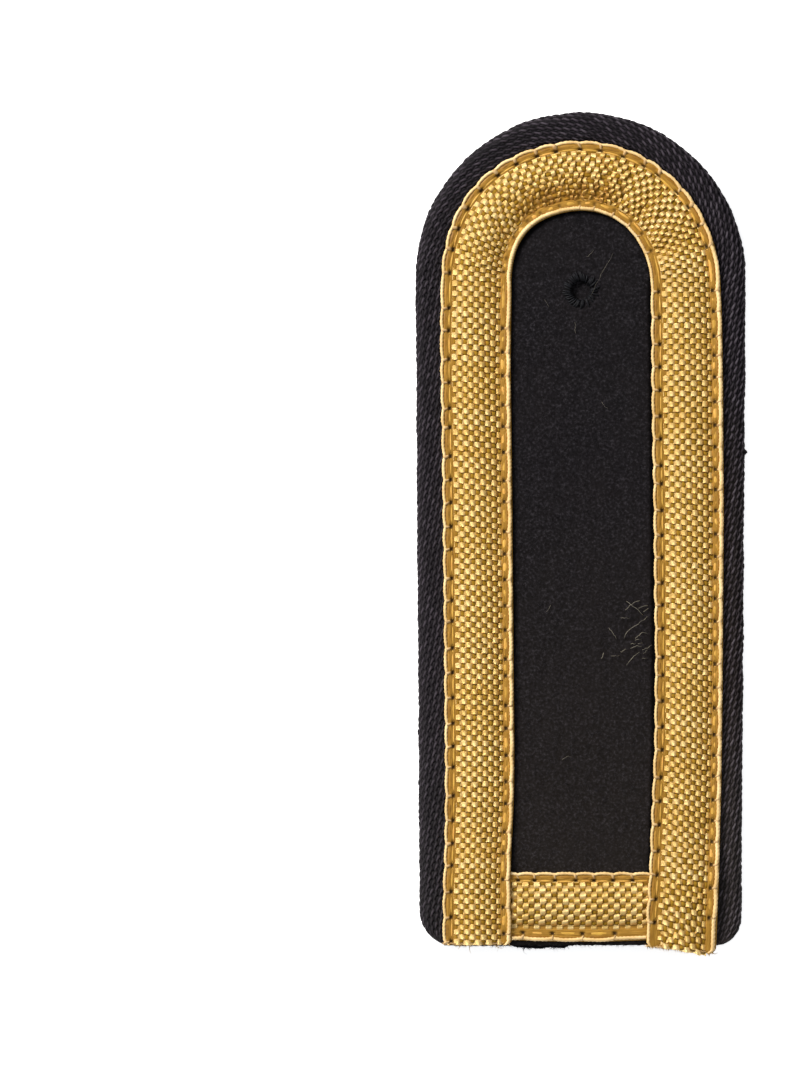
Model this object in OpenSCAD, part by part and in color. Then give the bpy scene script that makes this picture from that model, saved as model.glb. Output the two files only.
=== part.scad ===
// Shoulder board of the kind that is sewn into the shoulder seam and buttoned at the neck.
// A stiff felt backing carries a cloth field. A flat tubular braid runs round the edge, a woven
// lace is sewn on as a horseshoe, and a second length of the same lace closes its open foot.
// The board lies on its back: +Z is up, +Y points to the round end, and the origin is the middle
// of its footprint on the surface.

/* [Board] */
// Width across the round end
board_w = 45; // [40:0.5:55]
// Length from the foot to the top of the round end
board_len = 113.5; // [90:0.5:140]
// How far each side draws in between the round end and the foot
foot_draw = 0.55; // [0:0.05:1.5]

/* [Layers] */
// Thickness of the felt backing
backing_t = 1.5; // [1:0.1:2.5]
// Thickness of the cloth field
cloth_t = 1; // [1:0.1:2]
// Clearance between pieces that lie on or beside each other
layer_gap = 0.05; // [0.02:0.01:0.1]

/* [Edge braid] */
// Width of the flat tubular braid
braid_w = 4.6; // [4.2:0.1:5.5]
// Thickness of the braid
braid_h = 2.5; // [2:0.1:2.5]
// Width of braid that shows beside the lace
braid_show = 3.4; // [2.8:0.1:4]

/* [Lace] */
// Width of the lace from edge cord to edge cord
lace_w = 9.6; // [8:0.1:11]
// Thickness of the lace at the crown of its woven band
crown_t = 1.35; // [1:0.05:1.8]
// Width of the raised woven band
band_w = 6.4; // [5:0.1:7]
// Thickness of the flat selvedge beside the band
selvedge_t = 0.55; // [0.4:0.05:0.7]
// Depth of the channel that the sewing pulls into the selvedge
seam_dip = 0.2; // [0:0.05:0.3]
// Diameter of the edge cord
cord_d = 0.6; // [0.4:0.05:0.8]
// How much the edge cord stands above the selvedge
cord_rise = 0.2; // [0.05:0.05:0.3]
// How far the lace's arch lies below the board's
lace_drop = 0.55; // [0:0.05:1]
// Number of gathers round the inside of the arch
gathers = 11; // [0:1:15]
// Height of the gathers
gather_h = 0.16; // [0:0.02:0.3]
// How far both legs sway to one side where they were sewn on
leg_sway = 0.35; // [0:0.05:0.6]
// Distance that the slanting cut of one leg runs past the foot
cut_overrun = 0.9; // [0:0.1:1.2]

/* [Cross lace] */
// Distance of its lower edge from the foot
cross_up = 0.6; // [0.3:0.05:2]
// Length of each end that is tucked under a leg of the lace
tuck_len = 6.5; // [3:0.5:7]
// Thickness of the tucked ends, pressed flat
tuck_t = 0.5; // [0.3:0.05:0.6]
// Clearance between the raised band and the legs beside it
cross_clear = 0.2; // [0.1:0.05:0.6]

/* [Buttonhole] */
// Diameter of the worked eyelet's hole
hole_d = 2.6; // [2:0.1:3.4]
// Thickness of the thread that lines the hole
lining_t = 0.35; // [0.25:0.05:0.5]
// Width of the ring of stitches round the hole
stitch_w = 1; // [0.7:0.1:1.4]
// Height of the ring of stitches
stitch_h = 0.4; // [0.2:0.05:0.5]
// How far the hole lies below the centre of the round end
hole_drop = 1.8; // [0:0.1:6]

/* [Hidden] */
$fn = 96;
navy_cloth = [0.10, 0.10, 0.13];
navy_braid = [0.13, 0.13, 0.17];
gold = [0.86, 0.65, 0.25];
felt = [0.12, 0.12, 0.14];

total_len = board_len + cut_overrun;
foot_y = cut_overrun - total_len / 2;
arch_r = board_w / 2;
arch_y = total_len / 2 - arch_r;
leg_len = arch_y - foot_y;
// Lean of the legs: they leave the arch on its tangent and meet the foot drawn in.
foot_half = arch_r - foot_draw;
lean = asin(arch_r / norm([leg_len, foot_half])) - atan2(foot_half, leg_len);

cloth_top = backing_t + layer_gap + cloth_t;
lace_z = max(cloth_top, braid_h) + layer_gap;
lace_arch_y = arch_y - lace_drop;
lace_r = arch_r - braid_show - lace_w / 2;
lace_leg_len = (lace_arch_y - lace_r * sin(lean) - foot_y) / cos(lean);
cross_y = foot_y + cross_up + lace_w / 2;
// Half the width between the legs where they reach the cross lace
cross_half = lace_r * cos(lean) - (lace_arch_y - cross_y) * tan(lean) - lace_w / 2;
hole_r = hole_d / 2;
hole_y = arch_y - hole_drop;

// Stations down a leg of the lace, from the arch to the foot: distance above the foot, share of
// the sway, and share of the rise over the cross lace. The distances are shares of the leg in
// the first table, and of the cross lace's upper edge in the second.
cross_top = cross_up + lace_w;
LEG_UPPER = [[1, 0.1, 0], [0.74, 1, 0], [0.52, 1, 0], [0.26, 0.8, 0]];
LEG_FOOT = [[1.75, 0.4, 0], [1.45, 0.2, 0], [1.3, 0.1, 0.2], [1.15, 0, 0.7], [1.02, -0.1, 1],
            [0.7, -0.3, 1], [0.35, -0.5, 1], [0, -0.6, 1]];
leg_stations = concat([for (s = LEG_UPPER) [s[0] * lace_leg_len, s[1], s[2]]],
                      [for (s = LEG_FOOT) [s[0] * cross_top, s[1], s[2]]]);

function reverse(list) = [for (k = [len(list) - 1 : -1 : 0]) list[k]];

// Section of the lace from its inner to its outer edge, as [across, height]: a raised woven band,
// a channel that the sewing pulls in beside it, a flat selvedge and an edge cord on each side.
// A pucker lifts the band's inner half.
crown_steps = 10;
function pucker_share(q) = abs(q) < band_w / 2 ? pow(0.5 - q / lace_w, 2) : 0;
function band_points(pucker) =
    [for (k = [0 : crown_steps])
        let (q = 0.999 * band_w * (k / crown_steps - 0.5))
        [q, selvedge_t + (crown_t - selvedge_t) * pow(cos(180 * q / band_w), 0.8)
            + pucker * pucker_share(q)]];
function side_points(side) = let (margin = (lace_w - band_w) / 2)
    concat([for (a = [0 : 30 : 150])
               [side * (lace_w / 2 - cord_d / 2 * (1 - cos(a))),
                selvedge_t + cord_rise - cord_d / 2 * (1 - sin(a))]],
           [[side * (band_w / 2 + margin / 3), selvedge_t],
            [side * (band_w / 2 + margin / 8), selvedge_t - seam_dip]]);
function section(pucker) =
    concat([[-lace_w / 2, 0], [lace_w / 2, 0]], side_points(1), reverse(band_points(pucker)),
           reverse(side_points(-1)));

// A lace laid along stations of [x, y, heading, rise, pucker, cut], where heading is the way
// that it runs, rise lifts the whole lace and cut slants its end, longest at the outer edge.
module lace(stations) {
    rings = [for (s = stations)
        [for (p = section(s[4]))
            let (along = s[5] * (p[0] / lace_w + 0.5))
            [s[0] - p[0] * sin(s[2]) + along * cos(s[2]),
             s[1] + p[0] * cos(s[2]) + along * sin(s[2]),
             lace_z + s[3] + p[1]]]];
    m = len(rings[0]);
    n = len(rings);
    walls = [for (k = [0 : n - 2], i = [0 : m - 1], half = [0, 1])
        let (a = k * m + i, b = k * m + (i + 1) % m, c = b + m, d = a + m)
        half == 0 ? [a, d, c] : [a, c, b]];
    near_end = [for (i = [0 : m - 1]) i];
    far_end = [for (i = [m - 1 : -1 : 0]) (n - 1) * m + i];
    polyhedron(points = [for (r = rings) each r], faces = concat([near_end], walls, [far_end]));
}

// Plan of the board drawn in by inset, with its foot corners rounded by corner_r. The round
// end and the corners are runs of short chords.
module plan(inset, corner_r) {
    r = arch_r - inset;
    corner_y = foot_y + corner_r;
    corner_x = (r - corner_r + (corner_y - arch_y) * sin(lean)) / cos(lean);
    chords = 72;
    turn = (180 + 2 * lean) / chords;
    polygon(concat(
        [for (k = [0 : chords]) [r * cos(k * turn - lean), arch_y + r * sin(k * turn - lean)]],
        [for (a = [180 : 22.5 : 270]) [corner_r * cos(a) - corner_x, corner_y + corner_r * sin(a)]],
        [for (a = [270 : 22.5 : 360]) [corner_x + corner_r * cos(a), corner_y + corner_r * sin(a)]]));
}

// One flat layer inside the braid, with the buttonhole through it.
module layer(z, thickness) {
    corner_r = 0.6;
    hole_clear = hole_r + lining_t + layer_gap;
    difference() {
        translate([0, 0, z]) linear_extrude(thickness) plan(braid_w + layer_gap, corner_r);
        translate([0, hole_y, z - 1]) cylinder(r = hole_clear, h = thickness + 2);
    }
}

module backing() {
    color(felt) layer(0, backing_t);
}

module cloth_field() {
    color(navy_cloth) layer(backing_t + layer_gap, cloth_t);
}

module braid_section() {
    end_r = braid_h / 2;
    for (side = [-1, 1]) translate([side * (braid_w / 2 - end_r), end_r]) circle(r = end_r);
    translate([end_r - braid_w / 2, 0]) square([braid_w - 2 * end_r, braid_h]);
}

// The right-hand half of the braid, its end turned under in a half round at the foot.
module half_braid() {
    middle_r = arch_r - braid_w / 2;
    run = (leg_len - braid_w / 2 - middle_r * sin(lean)) / cos(lean);
    intersection() {
        rotate([0, 0, -lean]) {
            rotate_extrude(angle = 100) translate([middle_r, 0]) braid_section();
            translate([middle_r, 0]) rotate([90, 0, 0]) linear_extrude(run) braid_section();
            translate([middle_r, -run]) rotate([0, 0, 180]) rotate_extrude(angle = 180)
                intersection() {
                    braid_section();
                    square([braid_w / 2, braid_h]);
                }
        }
        translate([0, -board_len, -1]) cube([board_w, 2 * board_len, braid_h + 2]);
    }
}

module edge_braid() {
    color(navy_braid) translate([0, arch_y]) {
        half_braid();
        mirror([1, 0, 0]) half_braid();
    }
}

// The left leg from the foot up, the arch, and the right leg down to its slanting cut.
module lace_loop() {
    arch_steps = gathers > 0 ? 6 * gathers : 36;
    rise = tuck_t + layer_gap;
    function leg(side, s, heading, cut) =
        let (run = lace_leg_len - s[0])
        [side * (lace_r * cos(lean) - run * sin(lean)) + leg_sway * s[1],
         lace_arch_y - lace_r * sin(lean) - run * cos(lean), heading, rise * s[2], 0, cut];
    left = [for (s = reverse(leg_stations)) leg(-1, s, 90 - lean, 0)];
    right = [for (s = leg_stations) leg(1, s, lean - 90, s[0] == 0 ? cut_overrun : 0)];
    arch = [for (k = [1 : arch_steps - 1])
        let (a = 180 + lean - k * (180 + 2 * lean) / arch_steps,
             sway = leg_sway * leg_stations[0][1])
        [lace_r * cos(a) + sway, lace_arch_y + lace_r * sin(a), a - 90, 0,
         gather_h * (1 - cos(360 * gathers * k / arch_steps)), 0]];
    color(gold) lace(concat(left, arch, right));
}

// Raised between the legs, with a flat end tucked under each.
module cross_lace() {
    sway = -0.35 * leg_sway;
    color(gold) translate([sway, cross_y, lace_z]) {
        rotate([90, 0, 90]) linear_extrude(2 * (cross_half - cross_clear), center = true)
            polygon(section(0));
        translate([0, 0, tuck_t / 2])
            cube([2 * (cross_half + tuck_len), lace_w - cord_d, tuck_t], center = true);
    }
}

module eyelet() {
    outer_r = hole_r + stitch_w;
    seat_z = cloth_top + layer_gap;
    bow_r = (pow(stitch_w / 2, 2) + pow(stitch_h, 2)) / (2 * stitch_h);
    color(navy_braid) translate([0, hole_y, 0]) rotate_extrude() {
        translate([hole_r, 0]) square([lining_t, seat_z + 0.1 * stitch_h]);
        intersection() {
            translate([hole_r + stitch_w / 2, seat_z + stitch_h - bow_r]) circle(r = bow_r);
            translate([hole_r, seat_z]) square([outer_r - hole_r, stitch_h]);
        }
    }
}

backing();
cloth_field();
edge_braid();
lace_loop();
cross_lace();
eyelet();
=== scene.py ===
import bpy
import numpy as np
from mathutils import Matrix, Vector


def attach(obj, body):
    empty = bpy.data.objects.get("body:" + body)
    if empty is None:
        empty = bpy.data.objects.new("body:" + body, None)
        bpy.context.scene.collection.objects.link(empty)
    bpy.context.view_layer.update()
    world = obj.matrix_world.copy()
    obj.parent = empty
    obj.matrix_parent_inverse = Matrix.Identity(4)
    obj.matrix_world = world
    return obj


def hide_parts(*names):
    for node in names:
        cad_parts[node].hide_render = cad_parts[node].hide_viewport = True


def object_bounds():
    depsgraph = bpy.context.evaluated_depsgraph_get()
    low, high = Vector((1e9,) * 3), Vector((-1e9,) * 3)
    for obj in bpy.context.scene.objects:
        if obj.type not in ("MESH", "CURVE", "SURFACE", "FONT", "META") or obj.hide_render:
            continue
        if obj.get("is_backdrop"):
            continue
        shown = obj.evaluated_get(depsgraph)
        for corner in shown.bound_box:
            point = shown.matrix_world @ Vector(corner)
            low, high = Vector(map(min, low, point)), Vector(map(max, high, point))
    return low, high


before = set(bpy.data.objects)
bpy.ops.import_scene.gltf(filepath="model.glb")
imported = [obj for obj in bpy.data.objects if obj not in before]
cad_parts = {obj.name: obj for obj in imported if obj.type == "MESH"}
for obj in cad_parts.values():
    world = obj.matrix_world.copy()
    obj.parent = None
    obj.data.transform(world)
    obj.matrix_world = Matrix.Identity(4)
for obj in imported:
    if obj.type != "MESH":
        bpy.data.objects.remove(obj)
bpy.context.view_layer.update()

# Table, light and camera
# The board lies on a white table under a large lamp from the upper left, with
# even light all round, and the camera looks straight down.
MM = 0.001
MM_PER_PIXEL = 0.13595
PHOTO_MIDDLE = (399.5, 532.5)
PHOTO_TALL = 1065
TIP_PIXEL = (579.5, 111.5)
TIP_Y = 57.2
SENSOR = 36.0
FACE_UP = 2.5
CAMERA_ABOVE = 600.0
CAMERA_LEFT = 0.2
LAMP_TOWARDS = (-0.60, 0.52, 0.60)
LAMP_AWAY = 0.9
LAMP_WIDE = 0.34
LAMP_WATTS = 11.5
LAMP_COLOUR = (1.0, 0.975, 0.94)
SKY_COLOUR = (0.93, 0.96, 1.0, 1)
SKY_STRENGTH = 0.42
TABLE_DOWN = 5e-5


def on_board(px, py):
    """Where a pixel of the photograph falls on the board, in mm: a plain scale and shift that
    put the top of the round end at its place."""
    return (px - TIP_PIXEL[0]) * MM_PER_PIXEL, TIP_Y - (py - TIP_PIXEL[1]) * MM_PER_PIXEL


def put_in_scene(name, data):
    """A new object in the scene, which holds data."""
    thing = bpy.data.objects.new(name, data)
    bpy.context.scene.collection.objects.link(thing)
    return thing


middle_x, middle_y = on_board(*PHOTO_MIDDLE)
camera = put_in_scene("camera", bpy.data.cameras.new("camera"))
camera.data.lens = SENSOR * CAMERA_ABOVE / (PHOTO_TALL * MM_PER_PIXEL)
camera.location = ((middle_x - CAMERA_LEFT) * MM, middle_y * MM, (CAMERA_ABOVE + FACE_UP) * MM)
camera.data.clip_end = 20
bpy.context.scene.camera = camera
bpy.context.scene.view_settings.view_transform = "Standard"

lamp_data = bpy.data.lights.new("studio_lamp", "AREA")
lamp_data.size = LAMP_WIDE
lamp_data.energy = LAMP_WATTS
lamp_data.color = LAMP_COLOUR
lamp = put_in_scene("studio_lamp", lamp_data)
towards = np.array(LAMP_TOWARDS) / np.linalg.norm(LAMP_TOWARDS)
lamp.location = towards * LAMP_AWAY
lamp.rotation_mode = "QUATERNION"
lamp.rotation_quaternion = lamp.location.to_track_quat("Z", "Y")

sky = bpy.data.worlds.new("studio")
sky.use_nodes = True
sky.node_tree.nodes["Background"].inputs["Color"].default_value = SKY_COLOUR
sky.node_tree.nodes["Background"].inputs["Strength"].default_value = SKY_STRENGTH
bpy.context.scene.world = sky


def new_finish(name, **sockets):
    """A material with one Principled shader, whose named sockets are set. Returns the material,
    a function that adds a node, and one that feeds an output into a socket of the shader."""
    material = bpy.data.materials.new(name)
    material.use_nodes = True
    tree = material.node_tree
    shader = tree.nodes["Principled BSDF"]
    for socket, value in sockets.items():
        shader.inputs[socket.replace("_", " ")].default_value = value

    def add(kind, inputs=(), **settings):
        node = tree.nodes.new("ShaderNode" + kind)
        for key, value in settings.items():
            setattr(node, key, value)
        for key, value in dict(inputs).items():
            if isinstance(value, bpy.types.NodeSocket):
                tree.links.new(value, node.inputs[key])
            else:
                node.inputs[key].default_value = value
        return node

    def feed(socket, output):
        tree.links.new(output, shader.inputs[socket])

    return material, add, feed


table_mesh = bpy.data.meshes.new("table")
table_mesh.from_pydata([(x, y, -TABLE_DOWN) for x, y in ((-3, -3), (3, -3), (3, 3), (-3, 3))], [],
                       [(0, 1, 2, 3)])
table_mesh.materials.append(new_finish("white_table", Roughness=0.8, Base_Color=(0.92, 0.92, 0.92, 1),
                                       Emission_Color=(1, 1, 1, 1), Emission_Strength=0.74)[0])
table = put_in_scene("table", table_mesh)
table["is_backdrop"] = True

# Felt backing
# A stiff dark felt, die-cut to the board's outline inside the braid. Its foot
# is a raw cut, so the edge there is ragged and sheds fibres.
BOARD_RADIUS = 22.5
ARCH_Y = 34.7
FOOT_Y = -56.3
FOOT_HALF = 21.95
LEAN = np.arcsin((BOARD_RADIUS - FOOT_HALF) / (ARCH_Y - FOOT_Y))
FELT_INSET = 4.65
FELT_TOP = 1.5
FOOT_CUT = ([-17, -9.5, -8.5, -5.4, -4.4, -2.2, -1.6, 0.7, 4, 8, 17],  # how far the cut strays
            [0, 0, -0.22, -0.40, -0.20, -0.34, 0.02, 0.16, 0.08, 0.16, 0])
HOLE_AT = (0.0, 32.9)
HOLE_RADIUS, RING_RADIUS = 1.5, 2.6
NEAR_HOLE, NEAR_STEP = 3.2, 0.2
ARCH_INSIDE = 45.0
FULL_TURN = 6.283
felt_tip = ARCH_Y + BOARD_RADIUS - FELT_INSET


def half_width(y, inset):
    """Half the board's width at y, inset from its outline: a straight leaning side up to
    where it meets the arch, then the arch's circle."""
    r = BOARD_RADIUS - inset
    y_meet = ARCH_Y - r * np.sin(LEAN)
    run = (y_meet - y) / np.cos(LEAN)
    side = r * np.cos(LEAN) - run * np.sin(LEAN)
    circle = np.sqrt(np.clip(r * r - (y - ARCH_Y) ** 2, 0, None))
    return np.where(y < y_meet, side, circle)


def ripple(x, y, seed, size, waves=14):
    """Smooth random relief from -1 to 1: sine waves of about one size summed over random
    directions and phases."""
    rng = np.random.default_rng(seed)
    total = np.zeros(np.broadcast(x, y).shape)
    for turn, phase, stretch in rng.uniform(0, 1, (waves, 3)):
        k = 2 * np.pi / (size * (0.6 + 0.9 * stretch))
        total = total + np.sin(k * (x * np.cos(FULL_TURN * turn) + y * np.sin(FULL_TURN * turn))
                               + FULL_TURN * phase)
    return total / np.sqrt(waves / 2) / 2.2


def as_points(x, y, z):
    """Three arrays side by side, each spread to the shape that they have together."""
    return np.stack(np.broadcast_arrays(x, y, z), -1)


def make_piece(name, finish, slot, points, faces, marks=None):
    """Puts points in mm and faces into a smooth mesh that rides with the board. marks, one
    row of three numbers for each point, become the attribute "lay"."""
    mesh = bpy.data.meshes.new(name)
    mesh.from_pydata((np.reshape(points, (-1, 3)) * MM).tolist(), [], faces)
    if marks is not None:
        lay = mesh.attributes.new("lay", "FLOAT_VECTOR", "POINT")
        lay.data.foreach_set("vector", np.reshape(marks, -1).astype(np.float32))
    mesh.polygons.foreach_set("use_smooth", np.ones(len(mesh.polygons), bool))
    mesh.materials.append(finish)
    mesh.update()
    piece = put_in_scene(name, mesh)
    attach(piece, "root")
    return piece


def pad_faces(points):
    """Faces of a closed pad, whose points are an upper and a lower grid: both grids, and a rim
    that joins their borders. Rows run ahead and columns to the right."""
    up, low = np.arange(points.size // 3).reshape(points.shape[:3])

    def skin(g):
        """The four-sided faces between neighbours of one grid."""
        return np.stack([g[:-1, :-1], g[:-1, 1:], g[1:, 1:], g[1:, :-1]], -1).reshape(-1, 4)

    def border(g):
        """The points once round the edge of one grid."""
        return np.concatenate([g[0, :-1], g[:-1, -1], g[-1, :0:-1], g[:0:-1, 0]])

    a, b = border(up), border(low)
    rim = np.stack([a, b, np.roll(b, -1), np.roll(a, -1)], -1)
    return np.concatenate([skin(up), skin(low)[:, ::-1], rim]).tolist()


def tube_faces(points):
    """Faces of closed tubes. Each tube's points are rings of as many sides, counted anticlockwise
    about its direction; walls join the rings and a flat face closes both ends."""
    index = np.arange(points.size // 3).reshape(-1, *points.shape[-3:-1])
    a, b = index[:, :-1], index[:, 1:]
    walls = np.stack([a, np.roll(a, -1, 2), np.roll(b, -1, 2), b], -1).reshape(-1, 4)
    return walls.tolist() + index[:, 0, ::-1].tolist() + index[:, -1].tolist()


def round_about(sides):
    """The angles of the points round a tube."""
    return np.arange(sides) * 2 * np.pi / sides


def hairs(paths, radius, sides=3):
    """Thin round fibres. paths[fibre, place] is a point, and radius may taper along it; each ring
    lies square to the path, turned from a level sideways direction."""
    ahead = np.gradient(paths, axis=1)
    ahead /= np.linalg.norm(ahead, axis=-1, keepdims=True) + 1e-9
    across = np.cross(ahead, (0.0, 0.02, 1.0))
    across /= np.linalg.norm(across, axis=-1, keepdims=True) + 1e-9
    upward = np.cross(across, ahead)
    turn = round_about(sides)
    ring = (across[..., None, :] * np.cos(turn)[:, None]
            + upward[..., None, :] * np.sin(turn)[:, None])
    radius = np.broadcast_to(radius, paths.shape[:2])[..., None, None]
    points = paths[:, :, None] + ring[..., ::-1, :] * radius
    return points, tube_faces(points)


def noise(add, scale, detail, roughness=0.5, at=None):
    """Cloudy noise from 0 to 1, fixed to the board unless another place is given. At a scale of
    1000 its clouds are about 1 mm wide."""
    return add("TexNoise", {"Vector": at or add("TexCoord").outputs["Object"], "Scale": scale,
                            "Detail": detail, "Roughness": roughness}).outputs["Fac"]


def ramp(add, factor, *stops):
    """A colour ramp read at factor; each stop is (place, (red, green, blue))."""
    node = add("ValToRGB", {"Fac": factor})
    band = node.color_ramp
    while len(band.elements) < len(stops):
        band.elements.new(0.5)
    for element, (place, colour) in zip(band.elements, stops):
        element.position = place
        element.color = (*colour, 1)
    return node.outputs["Color"]


def emboss(add, feed, height, strength, distance):
    """Bumps the surface by height, from 0 to 1; distance is how high 1 stands, in metres."""
    bump = add("Bump", {"Height": height, "Strength": strength, "Distance": distance})
    feed("Normal", bump.outputs["Normal"])


felt_finish, add, feed = new_finish("dark_felt", Roughness=0.95, Specular_IOR_Level=0.1)
fibre = noise(add, 2600, 5, 0.65)
feed("Base Color", ramp(add, fibre, (0.35, (0.006, 0.006, 0.007)), (0.7, (0.024, 0.023, 0.025))))
emboss(add, feed, fibre, 0.8, 0.00012)


def close_rows(coarse, arch_step):
    """Places along the board from foot to tip: coarse steps in mm, fine ones round the hole,
    arch_step up to the inside of the lace's arch, and from there a few that close up at the tip."""
    low, high = HOLE_AT[1] - NEAR_HOLE, HOLE_AT[1] + NEAR_HOLE
    first = ARCH_INSIDE + NEAR_STEP
    closing = 1 - (1 - np.linspace(0, 1, 12)) ** 1.5
    return np.concatenate([np.arange(FOOT_Y, low, coarse), np.arange(low, high, NEAR_STEP),
                           np.arange(high, ARCH_INSIDE, arch_step),
                           first + (felt_tip - first) * closing])[:, None]


def close_columns(*runs):
    """Shares of the half width from side to side. Each run is (from, to, step) in mm, taken on
    both sides of the middle; at the hole the steps are fine."""
    half = BOARD_RADIUS - FELT_INSET
    at_hole = (NEAR_STEP / 2, NEAR_HOLE, NEAR_STEP)
    side = np.concatenate([np.arange(*run) for run in (at_hole, *runs)] + [[half]])
    return np.concatenate([-side[::-1], side])[None, :] / half


def cut_face(rows, levels):
    """Adds rows at the foot that climb the cut face: returns the rows and the share of the
    thickness that each one stands at."""
    return (np.concatenate([np.full((levels, 1), rows[0, 0]), rows]),
            np.concatenate([np.linspace(0.06, 0.94, levels), np.ones(len(rows))])[:, None])


# The cut strays as its table says, with two sizes of raggedness, all fading within 3 mm. Round
# the eyelet the underside is drawn in.
felt_y, felt_share = cut_face(close_rows(1.6, 1.6), 7)
felt_x = np.maximum(half_width(felt_y, FELT_INSET), 0.35) * close_columns((3.4, 17.4, 0.55))
ragged = (np.interp(felt_x, *FOOT_CUT) + 0.05 * ripple(felt_x, 0, 5, 1.8)
          + 0.07 * ripple(felt_x, 1.5 * felt_share, 6, 0.9))
felt_y = felt_y + ragged * np.clip(1 - (felt_y - FOOT_Y) / 3, 0, 1)
from_hole = np.hypot(felt_x - HOLE_AT[0], felt_y - HOLE_AT[1])
sunk = (0.16 * np.clip((RING_RADIUS - from_hole) / 0.3, 0, 1)
        + 1.2 * np.clip((HOLE_RADIUS - from_hole) / 0.2, 0, 1))
felt_points = np.stack([
    as_points(felt_x, felt_y, FELT_TOP * felt_share + 0.03 * ripple(felt_x, felt_y, 7, 0.9)),
    as_points(felt_x, felt_y, 0.03 + sunk + 0.02 * ripple(felt_x, felt_y, 8, 0.9))])
felt = make_piece("felt_backing", felt_finish, "felt", felt_points, pad_faces(felt_points))
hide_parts("backing")


def curls(x, y, z, length, heading, bend, along):
    """Paths of loose fibres: from x, y each runs on by its length along its heading, which turns
    by bend on the way; z is its height at each place."""
    turned = heading + bend * along
    return as_points(x + length * along * np.cos(turned), y + length * along * np.sin(turned), z)


def fibre_finish(name, scale, detail, *stops, **sockets):
    """A finish for loose fibres and thin thread: cloudy noise picks its colour from a ramp."""
    material, add, feed = new_finish(name, **sockets)
    feed("Base Color", ramp(add, noise(add, scale, detail), *stops))
    return material


# Fibres root all over the cut face, run down the board and sink on the way.
rng = np.random.default_rng(11)
FUZZ, FUZZ_RADIUS = 1500, 0.032
along = np.linspace(0, 1, 4)[None, :]
root_x = rng.uniform(-17.2, 17.2, (FUZZ, 1))
root_z = rng.uniform(0.15, 2.4, (FUZZ, 1))
heading = rng.normal(-np.pi / 2, 0.9, (FUZZ, 1))
length = (rng.gamma(1.8, 0.08, (FUZZ, 1)) + 0.08) * (1 + 0.8 * np.clip(ripple(root_x, 0, 12, 3), 0, 1))
bend = rng.normal(0, 0.9, (FUZZ, 1))
root_y = FOOT_Y + 0.08 + np.interp(root_x, *FOOT_CUT)
paths = curls(root_x, root_y, np.maximum(root_z * (1 - 0.5 * along), 0.06), length, heading, bend, along)
fuzz_finish = fibre_finish("felt_fuzz", 900, 3, (0.35, (0.010, 0.010, 0.014)),
                           (0.7, (0.046, 0.046, 0.062)), Roughness=0.95, Specular_IOR_Level=0.1)
make_piece("felt_fibres", fuzz_finish, "felt", *hairs(paths, FUZZ_RADIUS * (1.15 - along)))

# Cloth field
# Milled navy wool over the felt, stretched flat and sewn down at its border,
# which the braid covers. A short nap lies all over it.
CLOTH_LOW, CLOTH_TOP = 1.55, 2.5
LACE_EDGE_LEFT = ([-56, -48, -38, -10, 20, 34], [-9.8, -9.95, -9.5, -9.45, -9.85, -9.75])
LACE_EDGE_RIGHT = ([-56, -45, -30, -12, 5, 20, 34], [9.2, 9.55, 10.0, 10.0, 9.85, 9.65, 9.5])
LACE_EDGE_ARCH_Y, LACE_EDGE_RADIUS = 34.1, 9.7
SEAM_WIDE, SEAM_DEEP = 0.36, 0.30
SET_BACK = 0.16


def reckon(add, operation, *numbers):
    """One step of arithmetic, such as MULTIPLY or SINE, on numbers that are plain or from nodes."""
    return add("Math", dict(enumerate(numbers)), operation=operation).outputs[0]


def mix(add, share, under, over, way="MIX"):
    """The colour over laid on the colour under, by its share."""
    return add("MixRGB", {"Fac": share, "Color1": under, "Color2": over},
               blend_type=way).outputs["Color"]


def read_marks(add):
    """The three numbers of the attribute "lay", by the names X, Y and Z."""
    lay = add("Attribute", attribute_name="lay").outputs["Vector"]
    return add("SeparateXYZ", {"Vector": lay}).outputs


cloth_finish, add, feed = new_finish("navy_wool", Roughness=0.95, Specular_IOR_Level=0.08)
nap = noise(add, 2700, 6, 0.7)
tone = ramp(add, nap, (0.36, (0.0020, 0.0018, 0.0022)), (0.53, (0.0105, 0.0095, 0.0113)),
            (0.68, (0.042, 0.038, 0.044)))
worn = mix(add, reckon(add, "MULTIPLY", noise(add, 160, 3), 0.56), tone, (0.0126, 0.0101, 0.0102, 1))
# painted fill light pales the wool towards the foot, and painted shade darkens the seams beside the lace
ahead = add("SeparateXYZ", {"Vector": add("TexCoord").outputs["Object"]}).outputs["Y"]
# painted fill light: the wool's colour is lifted towards the foot, in place of a lamp from the lower
# right
painted_fill_light = add("MapRange", {"Value": ahead, "From Min": -0.050, "From Max": 0.008,
                        "To Min": 1.0, "To Max": 0.0}).outputs["Result"]
fill_lit_wool = mix(add, painted_fill_light, worn, (0.0062, 0.0046, 0.0024, 1), "ADD")
# painted shade: the seam mark darkens the wool to near black beside the lace
feed("Base Color", mix(add, read_marks(add)["X"], fill_lit_wool, (0.001, 0.0009, 0.001, 1)))
emboss(add, feed, nap, 0.7, 0.00015)

# Beside the lace the sewing pulls the wool into a seam: a bell curve of the distance to the lace's
# inner edge, which also paints shade into the wool's colour there. Under the eyelet's ring the wool is
# pressed down, and in the hole it is cut away. Its foot is cut a little short of the felt's.
cloth_y, cloth_share = cut_face(close_rows(0.8, 0.3), 4)
cloth_columns = close_columns((3.4, 8.8, 0.48), (8.9, 10.7, 0.16), (10.9, 17.2, 0.8))
cloth_x = np.maximum(half_width(cloth_y, FELT_INSET), 0.35) * cloth_columns
cloth_y = cloth_y + (SET_BACK + 0.10 * ripple(cloth_x, cloth_share, 24, 0.8)) * (cloth_y < FOOT_Y + 0.1)
from_hole = np.hypot(cloth_x - HOLE_AT[0], cloth_y - HOLE_AT[1])
beside = np.minimum(np.abs(cloth_x - np.interp(cloth_y, *LACE_EDGE_LEFT)),
                    np.abs(cloth_x - np.interp(cloth_y, *LACE_EDGE_RIGHT)))
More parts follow.
